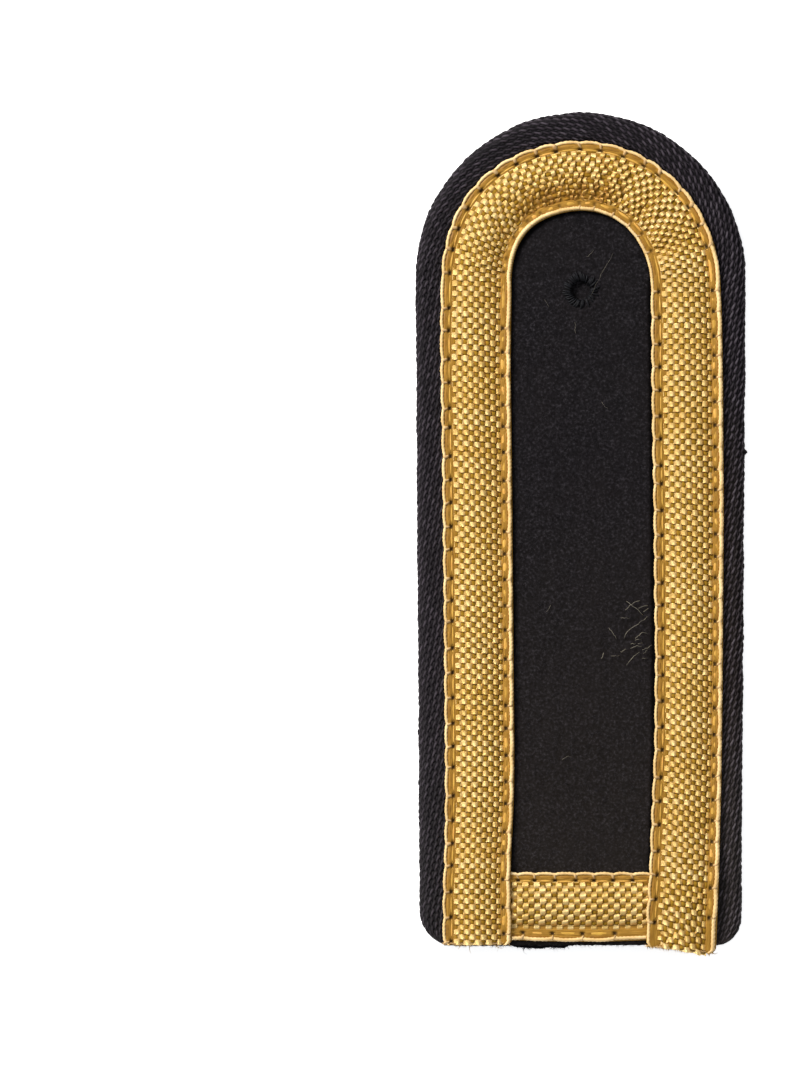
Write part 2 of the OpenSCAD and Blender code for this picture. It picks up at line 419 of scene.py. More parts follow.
round_end = np.abs(np.hypot(cloth_x, cloth_y - LACE_EDGE_ARCH_Y) - LACE_EDGE_RADIUS)
beside = np.where(cloth_y > LACE_EDGE_ARCH_Y, round_end, beside)
seam_crease_and_shade = np.exp(-(beside / SEAM_WIDE) ** 2)
relief = (0.06 * ripple(cloth_x, cloth_y, 21, 2.2) + 0.05 * ripple(cloth_x, cloth_y, 23, 14)
          - SEAM_DEEP * seam_crease_and_shade - 0.12 * np.clip((2.7 - from_hole) / 0.5, 0, 1)
          - 0.72 * np.clip((HOLE_RADIUS - from_hole) / 0.15, 0, 1))
cloth_points = np.stack([
    as_points(cloth_x, cloth_y, CLOTH_LOW + (CLOTH_TOP + relief - CLOTH_LOW) * cloth_share),
    as_points(cloth_x, cloth_y, CLOTH_LOW)])
# the seam's bell curve goes to the wool as a mark that paints shade into the seam
cloth = make_piece("wool_field", cloth_finish, "navy_cloth", cloth_points, pad_faces(cloth_points),
                   np.stack([as_points(seam_crease_and_shade, 0, 0)] * 2))
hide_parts("cloth_field")

# Single hairs lie on the wool in all directions, each in a low arch.
NAP, NAP_RADIUS, NAP_ARCH = 2600, 0.018, 0.16
root_y = rng.uniform(-46, 47, (NAP, 1))
root_x = rng.uniform(-1, 1, (NAP, 1)) * np.minimum(half_width(root_y, 13.5), 9.9)
heading = rng.uniform(0, 2 * np.pi, (NAP, 1))
length = rng.gamma(3.0, 0.11, (NAP, 1)) + 0.15
bend = rng.normal(0, 1.3, (NAP, 1))
lifted = CLOTH_TOP + 0.03 + NAP_ARCH * np.sin(np.pi * along) * rng.uniform(0.2, 1, (NAP, 1))
paths = curls(root_x, root_y, lifted, length, heading, bend, along)
nap_finish = fibre_finish("wool_nap", 700, 2, (0.4, (0.010, 0.009, 0.012)),
                          (0.72, (0.045, 0.042, 0.048)), Roughness=0.9, Specular_IOR_Level=0.15)
make_piece("wool_nap", nap_finish, "navy_cloth", *hairs(paths, NAP_RADIUS * (1.2 - along)))

# Edge braid
# A flat tubular braid of near-black yarn round the sides and the round end.
# Its plaited floats stand in V-shaped columns, which wind slowly round the tube.
BRAID_WIDE, BRAID_HIGH = 4.6, 2.5
PLAITS = 18
RIDGES = np.array([0, 0.18, 0.52, 0.70, 0.85])  # valley, broad float's two sides, valley, narrow float
FLOAT_PITCH = 1.14
FLOAT_LEAN = 0.34
FLOAT_UP_BROAD, FLOAT_UP_NARROW, YARN = 0.26, 0.22, 0.26
MOST_FLOATS = 300
WIND = 0.20
RING_STEP = 0.2273
CORNER_LEFT, CORNER_RIGHT = 4.7, 3.8
NUB_PIXEL, NUB_OUT = (744, 452), 0.42
BRAID_RADIUS = BOARD_RADIUS - BRAID_WIDE / 2


def horseshoe(s, radius, centre_x, centre_y, leg):
    """A line up the left leg, round the arch and down the right leg, s mm from its start:
    returns x, y and the outward direction. The legs lean in towards the foot."""
    arc = radius * (np.pi + 2 * LEAN)
    run = np.where(s < leg, leg - s, np.where(s > leg + arc, s - leg - arc, 0.0))
    angle = np.pi + LEAN - np.clip(s - leg, 0, arc) / radius
    out_x, out_y = np.cos(angle), np.sin(angle)
    x = centre_x + radius * out_x
    y = centre_y + radius * out_y
    side = np.sign(out_x)
    return (x - side * run * np.sin(LEAN), y - run * np.cos(LEAN), out_x, out_y)


braid_leg = (ARCH_Y - BRAID_RADIUS * np.sin(LEAN) - FOOT_Y) / np.cos(LEAN)
braid_length = 2 * braid_leg + BRAID_RADIUS * (np.pi + 2 * LEAN)
s = np.linspace(0, braid_length, int(braid_length / RING_STEP))[:, None]
flat = BRAID_WIDE - BRAID_HIGH
girth = 2 * flat + np.pi * BRAID_HIGH
plait = np.repeat(np.arange(PLAITS), len(RIDGES))[None, :]
part = np.tile(np.arange(len(RIDGES)), PLAITS)[None, :]
around = (plait + RIDGES[part]) * girth / PLAITS + WIND * s
# A float swells between two dives as one minus the cube of its place, flattened on top. Broad
# floats lean one way and narrow ones the other, and the valleys between follow both.
broad = part < 3
phase = s / FLOAT_PITCH + 0.5 * (1 - broad) + 0.5 * (plait % 2)
step = phase - np.round(phase)
valley = (part == 0) | (part == 3)
swell = np.where(valley, 0.0, np.clip(1 - np.abs(step / 0.5) ** 3, 0, 1) ** 0.6)
lean = np.where(broad, step, -step) * FLOAT_LEAN
beside_lean = (np.roll(lean, 1, 1) + np.roll(lean, -1, 1)) / 2
around = around + np.where(valley, beside_lean, lean)
float_height = (np.where(broad, FLOAT_UP_BROAD, FLOAT_UP_NARROW)
                + 0.05 * ripple(s, 3.1 * plait + 1.3 * broad, 32, 2.4))
rng = np.random.default_rng(34)
worn = rng.uniform(0.5, 1.0, (2 * PLAITS, MOST_FLOATS))[2 * plait + broad, np.round(phase).astype(int)]
u = np.mod(around, girth)
# u runs from the outer edge over the top to the inner edge and back underneath: quarter circle,
# flat, half circle, flat, quarter circle. Each point stands off the flat's line by reach, at the
# angle theta.
quarter = BRAID_HIGH * np.pi / 4
turning = np.cumsum([0, quarter, flat, 2 * quarter, flat, quarter])
theta = np.interp(u, turning, np.array([0, 1, 1, 3, 3, 4]) * np.pi / 2)
core = np.interp(u, turning, np.array([1, 1, -1, -1, 1, 1]) * flat / 2)
matted = np.clip(1 - np.minimum(s, braid_length - s) / 1.5, 0, 1) ** 0.5
reach = BRAID_HIGH / 2 - YARN + np.maximum(float_height * swell, 0.27 * matted)
q = core + reach * np.cos(theta)
h = reach * np.sin(theta)
# Both ends are rounded off and flattened, and their outer corners follow a circle.
end = np.clip(np.minimum(s, braid_length - s) / 1.2, 0, 1)
round_end = np.sqrt(np.clip(1 - (1 - end) ** 2, 0.0004, 1))
h = h * (0.55 + 0.45 * round_end) * np.minimum(1, round_end * 3)
corner = np.where(s < braid_length / 2, CORNER_LEFT, CORNER_RIGHT)
from_end = np.clip(np.minimum(s, braid_length - s), 0, corner)
limit = BRAID_WIDE / 2 - corner + np.sqrt(corner ** 2 - (corner - from_end) ** 2)
q = np.where(q > -1.0, -1.0 + (q + 1.0) * (limit + 1.0) / (BRAID_WIDE / 2 + 1.0), q)
x, y, out_x, out_y = horseshoe(s, BRAID_RADIUS, 0.0, ARCH_Y, braid_leg)
wander = 0.07 * ripple(s, 0 * s, 33, 9)
points = as_points(x + out_x * (q + wander), y + out_y * (q + wander), BRAID_HIGH / 2 + h)
# a small nub of yarn stands out of the right edge
nub_x, nub_y = on_board(*NUB_PIXEL)
near_nub = np.exp(-((points[..., 0] - nub_x) ** 2 + (points[..., 1] - nub_y) ** 2) / 0.10)
points[..., 0] += NUB_OUT * near_nub * (points[..., 2] > 0.7) * (points[..., 2] < 2.2)
braid_finish, add, feed = new_finish("navy_braid_yarn", Roughness=0.65, Specular_IOR_Level=0.12)
lay = read_marks(add)
yarn = noise(add, 3000, 4, 0.6)
# painted light: the ramp paints each float's top bright and the valleys between floats near black, a
# painted highlight and painted shade; narrow floats are painted darker; each float's random tone is the
# yarn's own
high = ramp(add, lay["Z"], (0.0, (0.0034, 0.0026, 0.0036)), (0.40, (0.0150, 0.0118, 0.0155)),
            (0.70, (0.054, 0.043, 0.055)), (1.0, (0.113, 0.096, 0.115)))
# painted fill light pales the two legs, most of all the right one near its foot, in place of a lamp from
# the lower right
painted_fill_light = ramp(add, reckon(add, "MULTIPLY", lay["X"], 1 / braid_length), (0.0, (0.0078, 0.0074, 0.0068)),
            (0.16, (0.0066, 0.0054, 0.0059)), (0.33, (0.0030, 0.0023, 0.0027)), (0.48, (0, 0, 0)),
            (0.68, (0, 0, 0)), (0.76, (0.0054, 0.0040, 0.0013)), (0.85, (0.0072, 0.0045, 0.0013)),
            (0.94, (0.0180, 0.0152, 0.0112)))
feed("Base Color", mix(add, 1.0, mix(add, 0.55, high, yarn, "MULTIPLY"), painted_fill_light, "ADD"))
emboss(add, feed, yarn, 0.5, 0.0001)
# painted light: the floats are painted paler from the left leg round to the right leg, to lift the side
# that the lamp leaves in shade
painted_side_light = 0.80 + 0.20 * np.clip((s - braid_leg) / (braid_length - 2 * braid_leg), 0, 1)
marks = as_points(s, u, swell * worn * np.where(broad, 1.0, 0.8) * painted_side_light)
braid = make_piece("braid_yarn", braid_finish, "navy_braid", points, tube_faces(points), marks)
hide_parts("edge_braid")

# Lace loop: ground
# Gold lace sewn on as a horseshoe. Its ground is a brown silk tape, thin at the
# selvedges and bulked out by a core in the middle, pierced along both edges by
# the sewing. The inner edge is gathered to go round the arch.
LACE_Z = 2.6
LACE_RADIUS = 14.3
LACE_CENTRE = (0.035, 34.15)
LACE_LEG = 90.365
LACE_ARC = LACE_RADIUS * (np.pi + 2 * LEAN)
LACE_LENGTH = 2 * LACE_LEG + LACE_ARC
CUT_SLANT = 0.9
FRAYED = 0.35
LACE_LAY = np.array([  # mm from the left foot, push outward, width as a share of the stock width
    [0, 0.465, 0.98], [7.7, 0.515, 0.955], [11.7, 0.385, 0.94], [15.8, 0.205, 0.955],
    [20, 0.055, 0.97], [26, 0.005, 0.98], [45, 0.045, 0.98], [66, 0.125, 0.985], [77, 0.235, 0.99],
    [84, 0.215, 1.0], [90, 0.06, 1.0], [93.5, 0.04, 1.0], [96.2, 0.27, 1.0], [101, 0.50, 1.0],
    [105.2, 0.31, 1.0], [108.4, 0.07, 1.0], [113, 0, 1.0], [120.6, -0.14, 1.0], [126.4, -0.35, 1.0],
    [130.5, -0.44, 1.0], [135.5, -0.30, 0.99], [139.8, -0.085, 1.0], [148.8, 0.065, 1.01],
    [157, 0.19, 1.005], [165.8, 0.365, 0.995], [177.8, 0.445, 0.975], [185.8, 0.525, 0.96],
    [198.8, 0.495, 0.955], [205.9, 0.315, 0.975], [214.1, 0.085, 0.985], [222.2, -0.285, 1.0],
    [226, -0.415, 1.0]])
FOOT_LIFT = ([10.4, 11.73, 13.26, 14.8], [0.55, 0.385, 0.11, 0])


def lace_line(s, q):
    """A point of the loop's underside, s mm from the left foot and q mm out from the middle: the
    horseshoe, pushed and narrowed by the lay table, lifted over the cross lace, slanted at its
    right end."""
    s, q = np.broadcast_arrays(s, q)
    s = s + CUT_SLANT * (q / 9.6 + 0.5) * np.clip((s - LACE_LENGTH) / 10 + 1, 0, None)
    near = s[..., None] + np.linspace(-1.5, 1.5, 5)
    push = np.interp(near, LACE_LAY[:, 0], LACE_LAY[:, 1]).mean(-1)
    share = np.interp(near, LACE_LAY[:, 0], LACE_LAY[:, 2]).mean(-1)
    lift = np.interp(np.minimum(near, LACE_LENGTH - near), *FOOT_LIFT).mean(-1)
    x, y, out_x, out_y = horseshoe(s, LACE_RADIUS, *LACE_CENTRE, LACE_LEG)
    out = push + q * share
    return x + out_x * out, y + out_y * out, LACE_Z + lift


def lay_on(line, s, q, h):
    """Points on a lace: s along it, q across it towards its outer edge, h above its underside."""
    x, y, z = line(s, q)
    return as_points(x, y, z + h)


def stitch_stations(length, pitch, first, seed):
    """Places of the sewing holes along an edge: even steps with a little scatter."""
    rng = np.random.default_rng(seed)
    count = int((length - first) / pitch)
    return first + (np.arange(count) + rng.normal(0, 0.07, count)) * pitch


def loop_holes(*stretches):
    """The holes along one edge of the loop: left leg, arch and right leg, each by its pitch, the
    place of its first hole and a seed."""
    ends = (0, LACE_LEG), (LACE_LEG, LACE_ARC - 1), (LACE_LEG + LACE_ARC, LACE_LEG)
    return np.concatenate([start + stitch_stations(length, *stretch)
                           for (start, length), stretch in zip(ends, stretches)])


outer_holes = loop_holes((3.3, 0.9, 51), (2.36, 1.1, 52), (3.0, 1.2, 53))
inner_holes = loop_holes((3.42, 2.0, 54), (3.4, 1.5, 55), (3.28, 1.6, 56))
HOLE_Q = 3.53
BAND_HALF, BAND_DRIFT = 3.2, 0.20
GROUND_DOWN = 0.37
SELVEDGE = ([3.25, 3.45, 3.7, 4.0, 4.3, 4.5, 4.7, 5.0],  # mm out from the middle, height
            [0.44, 0.48, 0.54, 0.56, 0.48, 0.37, 0.26, 0.15])
PIT_LONG, PIT_WIDE, PIT_DEEP = 0.33, 0.25, 0.30
# places across the ground, from its outer edge in
EDGE_Q = np.array([4.58, 4.45, 4.3, 4.1, 3.92, 3.8, 3.69, 3.58, 3.46, 3.34, 3.22, 3.1])
GROUND_Q = np.concatenate([EDGE_Q, np.linspace(2.6, -2.6, 5), -EDGE_Q[::-1]])


def arch_share(s):
    """1 on the arch, falling to 0 over 6 mm of each leg."""
    return np.clip((s - LACE_LEG + 3) / 6, 0, 1) * np.clip((LACE_LEG + LACE_ARC + 3 - s) / 6, 0, 1)


def band_drift(s):
    """How far the woven band lies out from the lace's middle: it leans to the board's right, so out
    on the right leg and in on the left."""
    return BAND_DRIFT * horseshoe(s, LACE_RADIUS, *LACE_CENTRE, LACE_LEG)[2]


def band_line(s, q):
    """A point of the loop's underside, q mm out from the middle of its woven band."""
    return lace_line(s, q + band_drift(s))


def round_crown(q, low=0.52, rise=0.8, wide=6.4, power=0.8):
    """Height of a woven band across its width: a power of a cosine over its low edges."""
    return low + rise * np.cos(np.clip(q / wide, -0.5, 0.5) * np.pi) ** power


def loop_crown(s, q):
    """Height of the loop's woven band: the round crown. Round the arch each inner stitch draws in
    a radial crease, with a gather swelling between, and one crease slants across to the right."""
    crown = round_crown(q)
    inner = np.clip(0.5 - q / 9.6, 0, 1) ** 2 * arch_share(s)
    bent = s + 0.45 * np.sin(0.9 * q + 2.1 * np.sin(0.31 * s))
    gap = np.interp(bent, inner_holes, np.arange(len(inner_holes)))
    off = np.abs(gap - np.round(gap))
    uneven = 1 + 0.5 * np.sin(0.38 * s + 1.0) + 0.3 * np.sin(0.91 * s)
    gather = uneven * (0.26 * np.sin(np.pi * off) - 0.44 * np.exp(-(off / 0.11) ** 2))
    crease_at = LACE_LEG + 27.6 - 1.2 * q
    crease = np.exp(-((s - crease_at) / 0.5) ** 2) - 0.5 * np.exp(-((s - crease_at - 1.2) / 0.8) ** 2)
    crown = np.maximum(crown + gather * inner, 0.46)
    return (crown - 0.26 * crease * (np.abs(q) < 3.3) + 0.03 * ripple(s, q, 41, 4.0)
            + 0.06 * arch_share(s) * ripple(s, q, 43, 2.2))


def outward(line, s):
    """Unit direction in the plane from the lace's middle to its outer edge."""
    x, y, _ = line(s, np.array([[0.0], [1.0]]))
    step = np.stack([x[1] - x[0], y[1] - y[0]])
    return step / np.linalg.norm(step, axis=0)


def corner_bend(s, first, last):
    """1 at the cut ends, falling as a square to 0 within 0.7 mm, where the corners curl in."""
    return np.clip(1 - np.minimum(s - first, last - s) / 0.7, 0, 1) ** 2


def turned_away(line, s, side):
    """How far an edge faces down to the right, away from the lamp, from 0 to 1: there the core
    lies off the edge and more of the tape shows."""
    out_x, out_y = outward(line, s)
    return np.clip(side * (0.8 * out_x - 0.6 * out_y), 0, 1)


def hole_q(line, s, side):
    """Where the sewing holes lie across the lace, a little further out on an edge turned away."""
    return side * (HOLE_Q + 0.34 * turned_away(line, s, side))


def lace_ground(line, crown, s, holes, drift=0.0):
    """The lace's ground as an upper and a lower grid. The upper one is the crown less the
    thickness of the weave, over a band that lies drift mm out from the middle; then a channel,
    the padded selvedge and a thin edge, which shows past the cord on the sides that face down to
    the right. Each sewing hole is a pit: a bell of the fourth power of the distance."""
    s2, q2 = np.broadcast_arrays(s[:, None], GROUND_Q)
    away_left, away_right = turned_away(line, s, -1)[:, None], turned_away(line, s, 1)[:, None]
    past = np.where(q2 < 0, away_left * (0.42 - 0.14 * arch_share(s2)), 0.42 * away_right)
    q2 = q2 + np.sign(q2) * past * np.clip((np.abs(q2) - 4.2) / 0.3, 0, 1)
    q2 = q2 * (1 - 0.10 * corner_bend(s, s[0], s[-1])[:, None])
    reach = np.abs(q2)
    band_q = q2 - np.reshape(drift, (-1, 1))
    up = np.where(np.abs(band_q) < BAND_HALF, np.maximum(crown(s2, band_q) - GROUND_DOWN, 0.3),
                  np.interp(reach, *SELVEDGE))
    up = up + 0.02 * ripple(s2, q2, 61, 0.8) * (reach > 3.25)
    # the same bell that sinks each pit also paints it dark: partly the dark wool seen through the hole,
    # partly painted shade inside it
    pit_depth_and_shade = np.zeros_like(up)
    for side, stations in holes:
        away = np.min(np.abs(s[:, None, None] - stations), -1)
        hole_at = hole_q(line, s, side)[:, None]
        shown = 1 - 0.4 * arch_share(s2) * (side < 0)
        pit_depth_and_shade = np.maximum(pit_depth_and_shade, shown * np.exp(-(away / PIT_LONG) ** 4
                                             - ((q2 - hole_at) / PIT_WIDE) ** 4))
    marks = as_points(s2, q2, pit_depth_and_shade)
    points = np.stack([lay_on(line, s2, q2, up - PIT_DEEP * pit_depth_and_shade), lay_on(line, s2, q2, 0.0 * up)])
    return points, pad_faces(points), np.stack([marks, marks])


ground_finish, add, feed = new_finish("brown_silk_tape", Roughness=0.6, Specular_IOR_Level=0.15)
lay = read_marks(add)
# streaks of silk run along the tape: the noise is read far finer across than along
along_silk = add("CombineXYZ", {"X": reckon(add, "MULTIPLY", lay["X"], 1.1),
                                "Y": reckon(add, "MULTIPLY", lay["Y"], 42.0)}).outputs[0]
streak = noise(add, 0.35, 4, 0.6, at=along_silk)
tone = ramp(add, streak, (0.30, (0.18, 0.080, 0.009)), (0.5, (0.34, 0.170, 0.021)),
            (0.7, (0.54, 0.30, 0.05)))
# painted shade: the pits of the sewing holes are darkened, partly for the dark wool under them and
# partly as shade inside them
feed("Base Color", mix(add, lay["Z"], tone, (0.026, 0.012, 0.0018, 1)))
emboss(add, feed, streak, 0.6, 0.0001)

ground_s = np.linspace(FRAYED, LACE_LENGTH - 0.1, 860)
ground = make_piece("lace_loop_ground", ground_finish, "gold_lace",
                    *lace_ground(lace_line, loop_crown, ground_s,
                                 [(1, outer_holes), (-1, inner_holes)], band_drift(ground_s)))
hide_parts("lace_loop")

# Lace loop: weave
# Flat bundles of gilt filament lie across the lace, two plies to a bundle. Each
# passes over one column of brown warp and under the next, a row later the other
# way about, so that the bright floats make a chequer with the warp ends.
COLUMN = 0.748
COLUMNS = np.arange(-4, 5)
RINGS_PER_COLUMN = 6
TURN_BACK = 3.12
GILT_AHEAD = np.array([0, 0.68, 1, 0, -1, -0.68])  # section of a gilt bundle: groove, ply, edge,
GILT_UP = np.array([0.85, 1, 0.35, -0.7, 0.35, 1])  # underside, edge, ply
WARP_ACROSS = np.array([1, 0.5, -0.5, -1])
WARP_UP = np.array([-0.03, 0.09, 0.09, -0.03])
GILT_DOWN, GILT_DIP, GILT_THICK = 0.10, 0.22, 0.085
WARP_DOWN, WARP_DIP, WARP_HALF = 0.39, 0.10, 0.225
ROW_PITCH = ([0, 18, 38, 60, 88, 93, 112, 131, 138, 160, 175, 195, LACE_LENGTH],  # mm from the left foot
             [0.69, 0.69, 0.70, 0.727, 0.73, 0.585, 0.56, 0.56, 0.70, 0.735, 0.72, 0.714, 0.714])
ROW_TILT = ([0, 22, 39, 66, 90, 112, 136, 152, 167, 187, 207, 226],
            [0, -0.01, 0.03, 0.09, 0.04, 0, 0, -0.02, 0.08, 0.10, 0.11, 0.11])


def row_places(first, length, table):
    """Where the rows lie: the spacing's reciprocal summed along the lace, read back at whole rows."""
    fine = np.linspace(first, length, 4000)
    rows = np.concatenate([[0], np.cumsum(np.diff(fine) / np.interp(fine[1:], *table))])
    return np.interp(np.arange(0.5, rows[-1]), rows, fine)


def weft(line, crown, rows, sway, seed, loose, overlap, first=0, last=None):
    """Tubes of gilt across the lace. A cosine of column plus row lifts each bundle over one warp
    column and lowers it under the next; overlap, added to the cosine, makes the floats longer
    than the dips. At the selvedges every bundle comes up to turn back. loose scales the scatter
    of place, width and height. Only the rows from first to last become tubes."""
    rng = np.random.default_rng(seed)
    count = len(rows)
    reach = int(4.5 * RINGS_PER_COLUMN)
    q = (np.arange(-reach, reach + 1) * COLUMN / RINGS_PER_COLUMN)[None, :]
    over = overlap(rows[:, None], q)
    wave = (np.cos(np.pi * (q / COLUMN + np.arange(count)[:, None])) + over) / (1 + over)
    up = np.sign(wave) * np.abs(wave) ** 0.75
    border = np.clip((np.abs(q) - TURN_BACK) / 0.15, 0, 1)
    up = up + (0.5 + 0.3 * up - up) * border
    pitch = np.gradient(rows)[:, None]
    column = np.round(q / COLUMN).astype(int) + 6
    scatter = rng.normal(0, 1, (3, count, 14))
    scatter = np.take_along_axis(scatter, np.broadcast_to(column, (3, count, q.shape[1])), 2)
    slack = loose(rows[:, None], q)
    tint = (rng.uniform(0, 1, (count, 1)) - 0.9 * np.clip(slack - 1.9, 0, None))[..., None]
    s = rows[:, None] + sway(rows[:, None], q) + 0.045 * slack * scatter[0]
    wide = pitch * (0.505 + 0.075 * up + 0.025 * slack * scatter[1] - 0.05 * (slack - 1))
    thick = GILT_THICK + 0.035 * up
    h = (crown(s, q) - GILT_DOWN - GILT_DIP * (1 - up) + 0.02 * slack * scatter[2] * (up > 0)
         - 0.03 * (slack - 1))
    s, wide, h, thick, up = (a[first:last, :, None] for a in (s, wide, h, thick, up))
    q = q[..., None]
    askew = q + 0.07 * GILT_AHEAD * (up > 0) * np.clip(4 - 1.2 * np.abs(q), 0, 1)
    ahead = s + wide * GILT_AHEAD
    points = lay_on(line, ahead, askew, h + thick * GILT_UP)
    marks = as_points(ahead, askew, tint[first:last])
    return points, tube_faces(points), marks


def warp(line, crown, rows, sway, seed, loose):
    """Flat brown bundles along the lace, one to a column. The same cosine of column plus row
    makes them dip and narrow where the gilt passes over, and spread between."""
    rng = np.random.default_rng(seed)
    index = np.arange(3 * len(rows) - 2) / 3
    half = np.interp(index, np.arange(len(rows)), rows)
    c = COLUMNS[:, None]
    wave = np.cos(np.pi * (c + index[None, :]))
    sideways = rng.normal(0, 0.03, (len(COLUMNS), len(rows)))
    q = c * COLUMN + sideways[:, np.minimum(np.round(index).astype(int), len(rows) - 1)]
    s = half[None, :] + sway(half[None, :], q)
    h = crown(s, q) - WARP_DOWN - WARP_DIP * wave
    slim = np.where(np.abs(c) == COLUMNS[-1], 0.6, 1.0)[..., None]
    across = q[..., None] + slim * (WARP_HALF - 0.105 * wave[..., None]) * WARP_ACROSS
    points = lay_on(line, s[..., None], across, h[..., None] + WARP_UP)
    rubbed = 0.5 * np.clip(loose(s, q) - 1.9, 0, None)[..., None]
    marks = as_points(s[..., None], across, rubbed)
    return points, tube_faces(points), marks


def bunched(s, q):
    """How far the gathers bunch the rows: full at the inner edge of the arch left of the crease,
    falling to nothing at two thirds of the way out, and weaker right of the crease."""
    rise = np.clip((s - LACE_LEG - 8) / 6, 0, 1)
    fall = np.interp(s, [LACE_LEG + 26, LACE_LEG + 29, LACE_LEG + LACE_ARC], [1, 0.3, 0])
    return rise * fall * np.clip(0.62 - q / 5, 0, 1.2)


def foot_share(s):
    """1 at the right foot, where the cut lace has come loose, falling to 0 in 16 mm."""
    return np.clip((s - LACE_LENGTH + 16) / 10, 0, 1)


def loop_sway(s, q):
    """How far a row runs ahead of its place: its slope times q, and on the inner part of the arch
    an uneven pull by the gathers."""
    pulled = 0.07 * arch_share(s) + 0.26 * bunched(s, q) + 0.11 * foot_share(s)
    return np.interp(s, *ROW_TILT) * q + pulled * ripple(s, q, 44, 1.7)


def loop_overlap(s, q):
    """How much longer the floats are than the dips: long on the half that faces up to the left,
    where they meet at their corners, and short on the other, where they stand apart."""
    _, _, out_x, out_y = horseshoe(s, LACE_RADIUS, *LACE_CENTRE, LACE_LEG)
    return 0.20 + 0.13 * q * (0.65 * out_y - 0.76 * out_x)


def loop_loose(s, q):
    """How unruly the rows are: a little everywhere, more at the right foot, most at the gathers."""
    return 1 + 1.9 * bunched(s, q) + 0.9 * foot_share(s)


def filaments(add, place, count):
    """Fine threads side by side: the sine of a place in mm times count."""
    return reckon(add, "SINE", reckon(add, "MULTIPLY", place, count))


gilt_finish, add, feed = new_finish("gilt_thread", Metallic=0.65, Roughness=0.42)
lay = read_marks(add)
tarnish = reckon(add, "ADD", lay["Z"], noise(add, 260, 4, 0.6))
feed("Base Color", ramp(add, reckon(add, "MULTIPLY", tarnish, 0.5), (0.0, (0.60, 0.33, 0.08)),
                        (0.25, (0.83, 0.54, 0.16)), (0.5, (0.90, 0.62, 0.22)),
                        (0.75, (0.95, 0.69, 0.29))))
emboss(add, feed, filaments(add, lay["X"], 62.0), 0.6, 0.00003)

warp_finish, add, feed = new_finish("brown_warp", Roughness=0.7, Specular_IOR_Level=0.05)
lay = read_marks(add)
tone = ramp(add, noise(add, 900, 3), (0.35, (0.250, 0.133, 0.010)), (0.65, (0.375, 0.209, 0.021)))
feed("Base Color", mix(add, lay["Z"], tone, (0.36, 0.170, 0.026, 1)))
emboss(add, feed, filaments(add, lay["Y"], 60.0), 0.4, 0.00003)

loop_rows = row_places(FRAYED, LACE_LENGTH - 0.1, ROW_PITCH)
arch_rows = np.searchsorted(loop_rows, [LACE_LEG, LACE_LEG + LACE_ARC])
for name, first, last in (("left", 0, arch_rows[0]), ("arch", *arch_rows),
                          ("right", arch_rows[1], len(loop_rows))):
    make_piece(f"lace_loop_gilt_{name}", gilt_finish, "gold_lace",
               *weft(band_line, loop_crown, loop_rows, loop_sway, 71, loop_loose, loop_overlap,
                     first, last))
make_piece("lace_loop_warp", warp_finish, "gold_lace",
           *warp(band_line, loop_crown, loop_rows, loop_sway, 72, loop_loose))

# Lace loop: edge cords and sewing
# A pale cord is whipped along each edge. Beside the weave lies the sewing: a
# yellow strand that dives into every hole and a brown one outside it. At each
# hole a thread crosses to the edge and pulls the cord in between its bows.
CORD_Q = 4.32
CORD_RADIUS = 0.205
CORD_TWIST = 1.05
CROSSING_AT = [0, 0.15, 0.5, 0.75, 0.9, 1]  # along one crossing thread, from hole to edge: place,
CROSSING_OUT = [0, 0.1, 0.36, 0.68, 0.94, 1]  # share of the way out, and height
CROSSING_UP = [0.42, 0.52, 0.58, 0.63, 0.42, 0.2]


def edge_cord(line, first, length, stations, side, seed):
    """A soft cord of two plies along a line that bows out between the stitches, slacker and fatter
    where it faces away from the lamp. Its radius swells by the cosine of twice the angle from the
    plies, which turn as the cord runs."""
    s = np.linspace(first, length, int(length / 0.14))
    gap = np.interp(s, stations, np.arange(len(stations)))
    bow = np.abs(np.sin(np.pi * (gap - np.floor(gap))))
    away = turned_away(line, s, side)
    bowed = 0.23 - 0.08 * away - 0.13 * arch_share(s) * (side < 0)
    q = side * (CORD_Q + 0.11 * away + bowed * bow ** 0.6
                + 0.02 * ripple(s, 0, seed, 2) - 0.55 * corner_bend(s, first, length))
    h = 0.40 + 0.10 * bow ** 0.5
    turn = round_about(8)
    fat = (CORD_RADIUS + 0.085 * away + 0.02 * ripple(s, 0, seed + 1, 0.9))[:, None]
    fat = fat * (1 + 0.13 * np.cos(2 * (turn - 2 * np.pi * s[:, None] / CORD_TWIST)))
    points = lay_on(line, s[:, None], q[:, None] + fat * np.cos(turn), h[:, None] + fat * np.sin(turn))
    return points, tube_faces(points)


def strands(line, stations, side, seed, middle, wide, high, clear, tones):
    """Sewing between the holes: a sausage of silk, which swells as the root of a sine and is
    pinched at both ends clear of the holes."""
    rng = np.random.default_rng(seed)
    t = np.linspace(0, 1, 9)[None, :]
    a, b = stations[:-1, None] + clear, stations[1:, None] - clear
    s = a + (b - a) * t
    swell = np.sin(np.pi * np.clip(t, 0.02, 0.98)) ** 0.5
    fat = rng.normal(1, 0.08, a.shape)
    q = side * (middle + 0.02 * rng.normal(0, 1, a.shape))
    turn = round_about(8)
    points = lay_on(line, s[..., None], q[..., None] + (wide * fat * swell)[..., None] * np.cos(turn),
                    (high - 0.22 + 0.12 * swell)[..., None]
                    + (0.03 + 0.08 * fat * swell)[..., None] * np.sin(turn))
    tint = rng.uniform(*tones, a.shape)[..., None]
    marks = as_points(s[..., None], 0 * turn, tint)
    return points, tube_faces(points), marks


